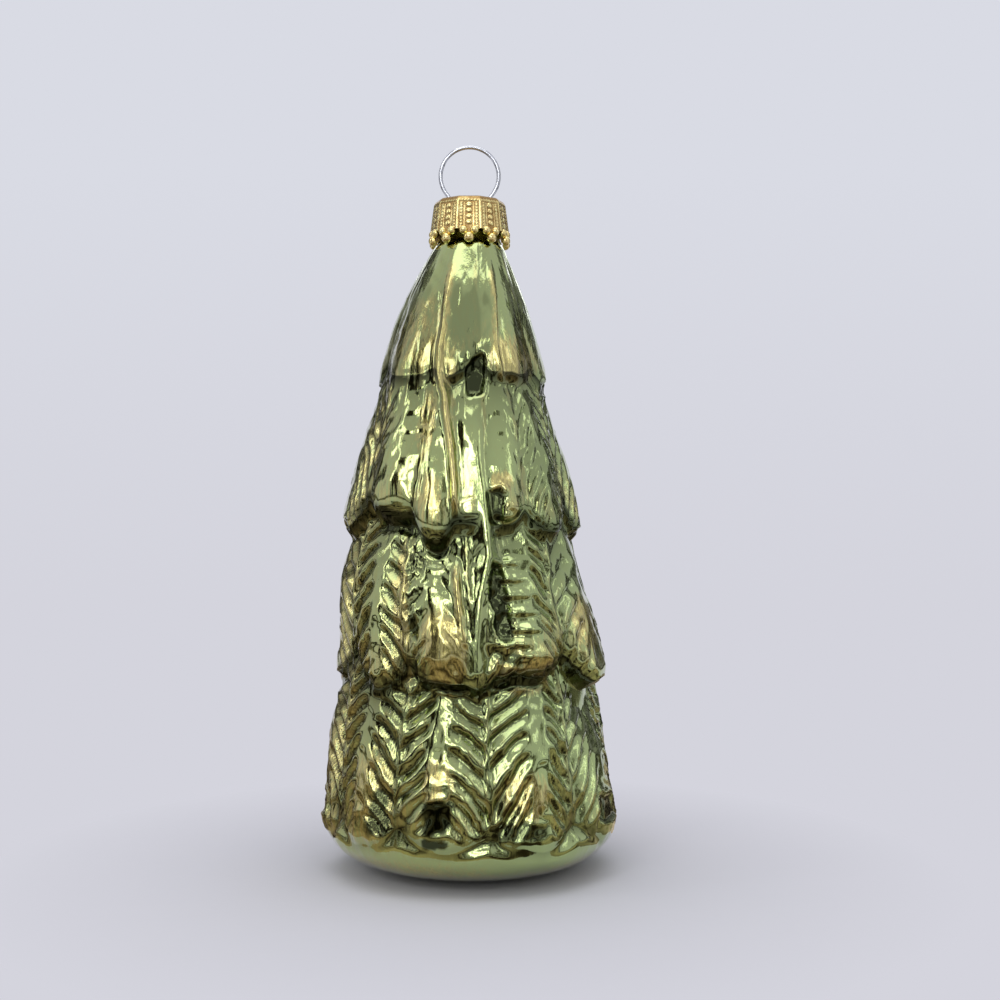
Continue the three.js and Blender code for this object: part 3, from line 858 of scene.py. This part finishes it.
def stamped(across, depth):
    """Height of the stamped pattern: a rope of small slanted beads down each side of the
    panel, larger round beads down its middle, a thin raised fold and a beaded ring under
    the shoulder. Returns the height and how raised it is, from 0 to 1."""
    side = np.abs(across)
    below = smooth((depth - 0.95) / 0.15)
    rope_wave = 0.5 + 0.5 * np.cos(TURN * (depth / 0.42 + across * 0.9))
    rope = clamp01(1 - ((side - 0.66) / 0.17) ** 2) * (0.45 + 0.55 * rope_wave) * below
    pitch = 0.78
    step = (depth - 1.35) / pitch
    near = (step - np.round(step)) * pitch
    inside = (np.round(step) >= 0) & (np.round(step) <= 3)
    bead = np.sqrt(clamp01(1 - (near / 0.34) ** 2 - (across * 1.5 / 0.42) ** 2)) * inside
    frame_line = hump(side - 0.40, 0.045) * 0.5 * below
    fold = hump(side - 0.97, 0.07) * smooth((depth - 0.5) / 0.2)
    ring_wave = 0.5 + 0.5 * np.cos(TURN * across * 3.5)
    beaded_ring = hump(depth - 0.72, 0.13) * (0.35 + 0.65 * ring_wave)
    raised = np.maximum.reduce([rope * 0.8, bead, frame_line, fold * 0.75, beaded_ring * 0.8])
    height = np.maximum.reduce(
        [rope * 0.13, bead * 0.17, frame_line * 0.08, fold * 0.1, beaded_ring * 0.12]
    )
    return height, raised


def cap_skin(settings):
    """The cap's sheet as one closed skin over rings, from the middle of the top out over
    the shoulder, down the stamped skirt, and back up the plain inside. The top has no
    holes, so the wire's legs pass through the sheet."""
    panels = settings.panels
    columns = panels * 36
    angle = np.arange(columns) / columns * TURN
    edge = skirt_edge(angle, panels)
    radii, depths, raised = [], [], []

    def add(middle, depth, emboss=0.0):
        depth = np.broadcast_to(depth, angle.shape)
        radius, across = panel_radius(angle, depth, middle, panels)
        height, up = stamped(across, depth)
        radii.append(radius + height * emboss * settings.emboss)
        depths.append(depth)
        raised.append(up if emboss else np.zeros_like(up))

    def add_plain(radius, depth):
        radii.append(np.full_like(angle, radius))
        depths.append(np.full_like(angle, depth))
        raised.append(np.zeros_like(angle))

    for radius in (1.2, 2.2, 3.0, 3.5):
        add_plain(radius, TOP_DISH * (radius / 3.7) ** 2)
    for turn in np.radians(np.linspace(0, 90, 9)):
        middle = CAP_OUTER - CAP_SHOULDER * (1 - math.sin(turn))
        depth = TOP_DISH + (CAP_SHOULDER - TOP_DISH) * (1 - math.cos(turn))
        add(middle, depth, math.sin(turn))
    for share in np.linspace(0, 1, 64)[1:]:
        add(CAP_OUTER, mix(CAP_SHOULDER, edge, share), 1.0)
    for share in np.linspace(1, 0, 8):
        add(CAP_INNER, mix(CAP_SHEET + 0.35, edge, share))
    add_plain(CAP_INNER - 0.45, CAP_SHEET + 0.02)
    radius, depth = np.array(radii), np.array(depths)
    x, y = radius * np.sin(angle), -radius * np.cos(angle)
    points = np.stack([x, y, cap_top - depth], -1).reshape(-1, 3)
    ends = np.array([[0, 0, cap_top], [0, 0, cap_top - CAP_SHEET]])
    rows = len(radius)
    last_ring = (rows - 1) * columns + np.arange(columns)
    faces = [
        ring_faces(rows, columns)[:, ::-1],
        fan(rows * columns, np.arange(columns)),
        fan(rows * columns + 1, last_ring, outward=False),
    ]
    up = np.concatenate([np.array(raised).ravel(), [0, 0]])
    return np.concatenate([points, ends]), faces, up


def bead_points(radius, angle, offset, depth):
    """A round bead on the skirt with its back flat on the sheet's inside, so that it
    stays out of the room for the neck."""
    latitude = np.linspace(-math.pi / 2, math.pi / 2, BEAD_ROWS)[:, None]
    longitude = np.arange(BEAD_COLUMNS) / BEAD_COLUMNS * TURN
    x = offset + radius * np.cos(latitude) * np.cos(longitude)
    z = cap_top - depth + radius * np.sin(latitude) + 0 * longitude
    middle = CAP_INNER + CAP_SHEET / 2 + skirt_flare(depth)
    out = middle - radius * np.cos(latitude) * np.sin(longitude)
    out = np.maximum(out, CAP_INNER + skirt_flare(cap_top - z) + 0.03)
    sine, cosine = math.sin(angle), math.cos(angle)
    points = np.stack([x * cosine + out * sine, x * sine - out * cosine, z], -1)
    return points.reshape(-1, 3)


def cap_beads(settings):
    """Three beads on each lobe, two side by side and one below them at its tip."""
    points, faces, count = [], [], 0
    lobe = skirt_edge(0.0, settings.panels)
    for i in range(settings.panels):
        angle = i / settings.panels * TURN
        for radius, offset, depth in (
            (TIP_BEAD, 0.0, lobe + TIP_BEAD_DROP),
            (SIDE_BEAD, -SIDE_BEAD_OFFSET, lobe - SIDE_BEAD_RISE),
            (SIDE_BEAD, SIDE_BEAD_OFFSET, lobe - SIDE_BEAD_RISE),
        ):
            points.append(bead_points(radius, angle, offset, depth))
            faces.append(ring_faces(BEAD_ROWS, BEAD_COLUMNS, count))
            count += BEAD_ROWS * BEAD_COLUMNS
    return np.concatenate(points), faces


def cap_material(settings):
    """Thin gold-lacquered sheet, bright on the raised beads and brown between them."""
    n = Nodes("stamped_gold")
    up = n.mark("raised")
    tarnish = n.noise(700, detail=4, roughness=0.65)
    rub = n.noise(2400, detail=3)
    share = n.math("ADD", up, n.span(tarnish, 0.3, 0.7, -0.25, 0.25))
    share = n.span(share, 0.05, 0.55)
    sheet = n.blend(share, rgba(settings.ground), rgba(settings.gold))
    bright = tuple(min(1.0, c * 1.3 + 0.06) for c in settings.gold)
    sheet = n.blend(n.math("MULTIPLY", n.span(rub, 0.5, 0.7), share), sheet, rgba(bright))
    rough = n.span(share, 0, 1, 0.42, 0.24)
    dents = n.bump(tarnish, 0.00005, 0.5)
    dents = n.bump(rub, 0.00002, 0.5, dents)
    n.feed(n.shader, {
        "Base Color": sheet, "Roughness": rough, "Normal": dents,
        "Metallic": 1.0, "Coat Weight": 0.25, "Coat Roughness": 0.15, "Coat IOR": 1.5,
    })
    return n.material


class ORNAMENT_OT_cap(bpy.types.Operator):
    """Build the stamped crown cap with its panels, ropes, beads and lobes"""

    bl_idname = "ornament.cap"
    bl_label = "Crown cap"

    def execute(self, context):
        settings = context.scene.ornament_cap
        points, faces, raised = cap_skin(settings)
        beads, bead_faces = cap_beads(settings)
        faces += [block + len(points) for block in bead_faces]
        marks = {"raised": np.concatenate([raised, np.ones(len(beads))])}
        points = np.concatenate([points, beads])
        cap = make_piece("stamped_cap", points, faces, cap_material(settings), marks)
        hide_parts("crown_cap")
        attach(cap, "crown_cap")
        return {"FINISHED"}


# The wire loop


class WireSettings(bpy.types.PropertyGroup):
    """Sizes and colour of the wire."""

    sides: IntProperty(name="Sides", description="Points round the wire", default=20, min=8)
    steel: FloatVectorProperty(
        name="Steel", description="Drawn wire", subtype="COLOR", default=(0.62, 0.64, 0.68)
    )


RING_EYE = 7.3
LEG_BEND = 1.0
LEG_STAND = 0.1
LEG_SPLAY = 0.05
LEG_STRAIGHT = 1.2
LEG_LENGTH = 9.0
LEG_CLEARANCE = 0.25


def arc(x, z, radius, start, end, steps):
    turn = np.linspace(start, end, steps)
    return np.stack([x + radius * np.cos(turn), z + radius * np.sin(turn)], -1)


def wire_path(wire_radius):
    """Centreline in the XZ plane: foot, leg, bend, ring, bend, leg and foot."""
    foot_x = NECK_RADIUS - NECK_WALL - LEG_CLEARANCE - wire_radius
    leg_x = foot_x - LEG_SPLAY
    ring_z = -RING_EYE / 2
    ring_radius = RING_EYE / 2 + wire_radius
    bend_x = leg_x + LEG_BEND
    drop = math.sqrt((ring_radius + LEG_BEND) ** 2 - bend_x**2)
    turn = math.atan2(drop, bend_x)
    top = ring_z - drop - LEG_STAND
    leg = [(-foot_x, top - LEG_LENGTH), (-leg_x, top - LEG_STRAIGHT), (-leg_x, ring_z - drop)]
    left = np.array([mix(np.array(leg[0]), np.array(leg[1]), s) for s in (0, 0.01, 0.5, 0.99)])
    left = np.concatenate([left, np.array(leg[1:])])
    bend = arc(-bend_x, ring_z - drop, LEG_BEND, 0, turn, 14)[1:]
    ring = arc(0, ring_z, ring_radius, math.pi + turn, -turn, 120)[1:]
    half = np.concatenate([left, bend])
    mirrored = half[::-1] * np.array([-1, 1])
    return np.concatenate([half, ring[:-1], mirrored])


def wire_tube(settings):
    """A circle carried along the centreline, turned to stay square to it, with a small
    round end on each foot."""
    radius = (wire_high.y - wire_low.y) / 2 / MM
    path = wire_path(radius)
    along = np.gradient(path, axis=0)
    along /= np.linalg.norm(along, axis=1)[:, None]
    end_turn = np.radians([90, 60, 30, 0])
    starts = [path[0] + along[0] * radius * 0.5 * (1 - math.sin(t)) for t in end_turn]
    stops = [path[-1] - along[-1] * radius * 0.5 * (1 - math.sin(t)) for t in end_turn[::-1]]
    path = np.concatenate([starts, path[1:-1], stops])
    first, last = along[:1], along[-1:]
    along = np.concatenate([np.repeat(first, 4, 0), along[1:-1], np.repeat(last, 4, 0)])
    shrink = np.cos(end_turn)
    size = np.concatenate([shrink, np.ones(len(path) - 8), shrink[::-1]]) * radius
    size = np.maximum(size, radius * 0.02)
    turn = np.arange(settings.sides) / settings.sides * TURN
    side = np.stack([along[:, 1], -along[:, 0]], -1)
    spread = size[:, None] * np.cos(turn)
    x = path[:, :1] + side[:, :1] * spread
    z = path[:, 1:] + side[:, 1:] * spread
    y = size[:, None] * np.sin(turn)
    points = np.stack([x, y, z], -1).reshape(-1, 3)
    rows, sides = len(path), settings.sides
    caps = [fan(len(points), np.arange(sides), outward=False)]
    caps.append(fan(len(points) + 1, (rows - 1) * sides + np.arange(sides)))
    ends = np.array([[path[0, 0], 0, path[0, 1]], [path[-1, 0], 0, path[-1, 1]]])
    return np.concatenate([points, ends]), [ring_faces(rows, sides), *caps]


def wire_material(settings):
    """Bright drawn steel with faint dull patches."""
    n = Nodes("drawn_steel")
    dull = n.noise(900, detail=4, roughness=0.6)
    darker = tuple(c * 0.8 for c in settings.steel)
    colour = n.blend(n.span(dull, 0.35, 0.7), rgba(settings.steel), rgba(darker))
    n.feed(n.shader, {
        "Base Color": colour, "Roughness": n.span(dull, 0.3, 0.7, 0.1, 0.2),
        "Metallic": 1.0,
    })
    return n.material


class ORNAMENT_OT_wire(bpy.types.Operator):
    """Build the wire ring with its two legs"""

    bl_idname = "ornament.wire"
    bl_label = "Wire loop"

    def execute(self, context):
        settings = context.scene.ornament_wire
        points, faces = wire_tube(settings)
        wire = make_piece("spring_wire", points, faces, wire_material(settings))
        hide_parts("wire_loop")
        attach(wire, "wire_loop")
        return {"FINISHED"}


# The studio


class StageSettings(bpy.types.PropertyGroup):
    """Camera, floor and lights."""

    distance: FloatProperty(
        name="Distance", description="From the camera to the tree", subtype="DISTANCE", default=0.2
    )
    eye_height: FloatProperty(
        name="Eye height", description="Above the lowest point", subtype="DISTANCE", default=0.0492
    )
    eye_right: FloatProperty(
        name="Eye to the right", description="Of the tree's axis", subtype="DISTANCE", default=0.0041
    )
    focal_pixels: FloatProperty(
        name="Focal length", description="In pixels of the picture", default=1480
    )
    wall: FloatVectorProperty(
        name="Wall", description="Backdrop", subtype="COLOR", default=(0.694, 0.708, 0.776)
    )
    floor: FloatVectorProperty(
        name="Floor", description="Paper underneath", subtype="COLOR", default=(0.658, 0.658, 0.723)
    )
    room: FloatProperty(name="Room", description="Brightness of the room", default=0.52)


PICTURE_PIXELS = 1000
SENSOR = 36.0
AIM_HEIGHT = 0.045
FLAG_DISTANCE = 420.0

# Lamps: name, azimuth and elevation in degrees, distance, width and height, brightness.
SOFTBOXES = [
    ("window_low", -10, 14, 0.7, (0.26, 0.08), 4.6),
    ("window_high", -10, 25, 0.7, (0.26, 0.09), 4.2),
    ("window_front_left", -31, 29, 0.7, (0.13, 0.15), 4.0),
    ("window_front_right", 17, 24, 0.7, (0.07, 0.16), 4.0),
    ("window_right", 68, 24, 0.7, (0.08, 0.30), 1.4),
    ("window_left", -72, 26, 0.7, (0.08, 0.28), 3.2),
    ("window_back_left", -168, 24, 0.8, (0.3, 0.16), 2.2),
    ("window_back_right", 158, 22, 0.8, (0.12, 0.26), 2.2),
    ("lamp_top", -22, 52, 0.6, (0.04, 0.10), 6.0),
    ("ceiling", 0, 84, 0.8, (0.7, 0.7), 1.5),
]

BLACK, BROWN, TAN = (0.012, 0.012, 0.01), (0.035, 0.024, 0.014), (0.50, 0.41, 0.29)
OLIVE, GREY, WHITE = (0.14, 0.13, 0.09), (0.30, 0.30, 0.29), (0.95, 0.95, 0.95)

# Cards just above the floor: name, inner and outer radius in millimetres, two colours.
FLOOR_CARDS = [("flag_near", 26, 60, BROWN, TAN), ("flag_floor", 60, 170, BLACK, TAN)]

# Upright cards: name, foot and top in millimetres, two angles in degrees, two colours.
RING_CARDS = [
    ("flag_low", 0, 26, -180, 180, BLACK, OLIVE),
    ("flag_front", 26, 80, -34, 22, BLACK, WHITE),
    ("flag_left", 26, 330, -62, -40, BLACK, BROWN),
    ("flag_right", 26, 300, 24, 42, BROWN, GREY),
    ("flag_far_right", 26, 420, 108, 148, BLACK, GREY),
    ("flag_far_left", 26, 420, -148, -108, BLACK, GREY),
    ("flag_back", 26, 200, 176, 192, BROWN, GREY),
]


def add_camera(settings):
    camera = bpy.data.objects.new("camera", bpy.data.cameras.new("camera"))
    bpy.context.scene.collection.objects.link(camera)
    camera.data.sensor_width = SENSOR
    camera.data.lens = settings.focal_pixels / PICTURE_PIXELS * SENSOR
    camera.data.clip_start = 0.01
    camera.location = (settings.eye_right, -settings.distance, glass_low.z + settings.eye_height)
    camera.rotation_euler = (math.pi / 2, 0, 0)
    bpy.context.scene.camera = camera


def paper_material(settings):
    """Matt studio paper that keeps shadows near the tree. Further off, eyes, metal and
    glass see its plain colour, so that floor and wall join without a line."""
    n = Nodes("studio_paper")
    tooth = n.noise(400, detail=2)
    place = n.put("ShaderNodeTexCoord").outputs["Object"]
    spread = n.put("ShaderNodeVectorMath", operation="MULTIPLY")
    n.feed(spread, {0: place, 1: (1, 1, 0)})
    reach = n.put("ShaderNodeVectorMath", operation="LENGTH")
    n.join(spread.outputs[0], reach.inputs[0])
    split = n.put("ShaderNodeSeparateXYZ")
    n.join(place, split.inputs[0])
    upness = n.span(split.outputs["Z"], glass_low.z, glass_low.z + 0.25)
    colour = n.blend(upness, rgba(settings.floor), rgba(settings.wall))
    rays = n.put("ShaderNodeLightPath").outputs
    seen = n.math("ADD", rays["Is Camera Ray"], rays["Is Glossy Ray"], clamp=True)
    seen = n.math("ADD", seen, rays["Is Transmission Ray"], clamp=True)
    seen = n.math("MULTIPLY", seen, n.span(reach.outputs["Value"], 0.022, 0.065))
    paper = tuple(c * 0.985 for c in settings.floor)
    n.feed(n.shader, {
        "Base Color": n.blend(tooth, rgba(settings.floor), rgba(paper)),
        "Roughness": 0.9, "Specular IOR Level": 0.1,
    })
    plain = n.put("ShaderNodeEmission")
    n.feed(plain, {"Color": colour, "Strength": 1.0})
    both = n.put("ShaderNodeMixShader")
    n.feed(both, {0: seen, 1: n.shader.outputs[0], 2: plain.outputs[0]})
    n.join(both.outputs[0], n.tree.nodes["Material Output"].inputs["Surface"])
    return n.material


def add_sweep(settings):
    """Floor and backdrop as one sheet: flat, then a quarter circle, then upright."""
    floor_z = glass_foot - 0.1
    bend, back, front, wide, tall = 250.0, 450.0, -1600.0, 1800.0, 1500.0
    turn = np.linspace(0, math.pi / 2, 16)
    y = np.concatenate([[front, -200.0, 0.0], back + bend * np.sin(turn), [back + bend]])
    z = np.concatenate([[0, 0, 0], bend - bend * np.cos(turn), [tall]]) + floor_z
    left = np.stack([np.full_like(y, -wide), y, z], -1)
    right = np.stack([np.full_like(y, wide), y, z], -1)
    points = np.concatenate([left, right])
    i = np.arange(len(y) - 1)
    faces = np.stack([i, i + len(y), i + len(y) + 1, i + 1], -1)
    sweep = make_piece("paper_sweep", points, [faces], paper_material(settings))


def add_flag(name, points, dark, light, fineness=11):
    """A studio flag: a matt black card that glows by its own emission, mottled between two
    colours, and only shows as a reflection in the shiny pieces."""
    n = Nodes(name)
    mottle = n.span(n.noise(fineness, (1, 1, 2.5), 2, 0.6, 0.6), 0.4, 0.6)
    n.feed(n.shader, {"Base Color": (0, 0, 0, 1), "Roughness": 1.0, "Specular IOR Level": 0.0})
    n.feed(n.shader, {"Emission Color": n.blend(mottle, rgba(dark), rgba(light))})
    n.feed(n.shader, {"Emission Strength": 1.0})
    rows = len(points) // 2
    i = np.arange(rows - 1)
    faces = np.stack([i, i + 1, i + 1 + rows, i + rows], -1)
    card = make_piece(name, np.array(points, float), [faces], n.material)
    for kind in ("camera", "diffuse", "shadow", "transmission", "volume_scatter"):
        setattr(card, "visible_" + kind, False)


def ring_card(name, low, high, start, stop, dark, light):
    """A curved upright card round the tree between two angles in degrees."""
    turn = np.radians(np.linspace(start, stop, 40))
    x, y = FLAG_DISTANCE * np.sin(turn), -FLAG_DISTANCE * np.cos(turn)
    lower = np.stack([x, y, np.full_like(x, glass_foot + low)], -1)
    upper = np.stack([x, y, np.full_like(x, glass_foot + high)], -1)
    add_flag(name, np.concatenate([lower, upper]), dark, light)


def floor_card(name, inner, outer, dark, light):
    """A flat ring of card just above the floor round the tree."""
    turn = np.linspace(0, TURN, 49)
    z = np.full_like(turn, glass_foot + 0.5)
    rings = [np.stack([r * np.sin(turn), -r * np.cos(turn), z], -1) for r in (inner, outer)]
    add_flag(name, np.concatenate(rings), dark, light, fineness=30)


def add_softbox(name, azimuth, elevation, distance, size, radiance):
    """An area lamp of that brightness, in a direction in degrees from the tree's middle,
    which shows as a soft window in the glass."""
    light = bpy.data.lights.new(name, "AREA")
    light.shape = "RECTANGLE"
    light.size, light.size_y = size
    light.energy = radiance * math.pi * size[0] * size[1]
    lamp = bpy.data.objects.new(name, light)
    bpy.context.scene.collection.objects.link(lamp)
    middle = Vector((0, 0, glass_low.z + AIM_HEIGHT))
    turn, rise = math.radians(azimuth), math.radians(elevation)
    flat = math.cos(rise)
    way = Vector((math.sin(turn) * flat, -math.cos(turn) * flat, math.sin(rise)))
    lamp.location = middle + way * distance
    lamp.rotation_euler = (-way).to_track_quat("-Z", "Y").to_euler()


def add_world(settings):
    world = bpy.data.worlds.new("room")
    bpy.context.scene.world = world
    world.use_nodes = True
    tree = world.node_tree
    background = tree.nodes["Background"]
    rays = tree.nodes.new("ShaderNodeLightPath").outputs
    blend = tree.nodes.new("ShaderNodeMix")
    blend.data_type = "RGBA"
    blend.inputs[6].default_value = (settings.room, settings.room, settings.room, 1)
    blend.inputs[7].default_value = rgba(settings.floor)
    seen = rays["Is Camera Ray"]
    for kind in ("Is Glossy Ray", "Is Transmission Ray"):
        either = tree.nodes.new("ShaderNodeMath")
        either.operation = "MAXIMUM"
        tree.links.new(seen, either.inputs[0])
        tree.links.new(rays[kind], either.inputs[1])
        seen = either.outputs[0]
    tree.links.new(seen, blend.inputs[0])
    tree.links.new(blend.outputs[2], background.inputs["Color"])


class ORNAMENT_OT_stage(bpy.types.Operator):
    """Set up the camera, the paper sweep, the softboxes and the flags"""

    bl_idname = "ornament.stage"
    bl_label = "Studio"

    def execute(self, context):
        settings = context.scene.ornament_stage
        context.scene.view_settings.view_transform = "Standard"
        add_camera(settings)
        add_sweep(settings)
        add_world(settings)
        for softbox in SOFTBOXES:
            add_softbox(*softbox)
        for card in FLOOR_CARDS:
            floor_card(*card)
        for card in RING_CARDS:
            ring_card(*card)
        return {"FINISHED"}


class ORNAMENT_PT_panel(bpy.types.Panel):
    """Lists the pieces and their settings"""

    bl_idname = "ORNAMENT_PT_panel"
    bl_label = "Glass tree ornament"
    bl_space_type = "VIEW_3D"
    bl_region_type = "UI"
    bl_category = "Ornament"

    def draw(self, context):
        for operator, group in STEPS:
            box = self.layout.box()
            box.operator(operator.bl_idname)
            settings = getattr(context.scene, group)
            for name in settings.__annotations__:
                box.prop(settings, name)


STEPS = [
    (ORNAMENT_OT_stage, "ornament_stage"),
    (ORNAMENT_OT_glass, "ornament_glass"),
    (ORNAMENT_OT_cap, "ornament_cap"),
    (ORNAMENT_OT_wire, "ornament_wire"),
]
GROUPS = {
    "ornament_stage": StageSettings,
    "ornament_glass": GlassSettings,
    "ornament_cap": CapSettings,
    "ornament_wire": WireSettings,
}
CLASSES = [*GROUPS.values(), *[operator for operator, _ in STEPS], ORNAMENT_PT_panel]


def register():
    for cls in CLASSES:
        bpy.utils.register_class(cls)
    for name, group in GROUPS.items():
        setattr(bpy.types.Scene, name, PointerProperty(type=group))


def unregister():
    for name in GROUPS:
        delattr(bpy.types.Scene, name)
    for cls in reversed(CLASSES):
        bpy.utils.unregister_class(cls)


def main():
    register()
    bpy.ops.ornament.stage()
    bpy.ops.ornament.glass()
    bpy.ops.ornament.cap()
    bpy.ops.ornament.wire()


if __name__ == "__main__":
    main()
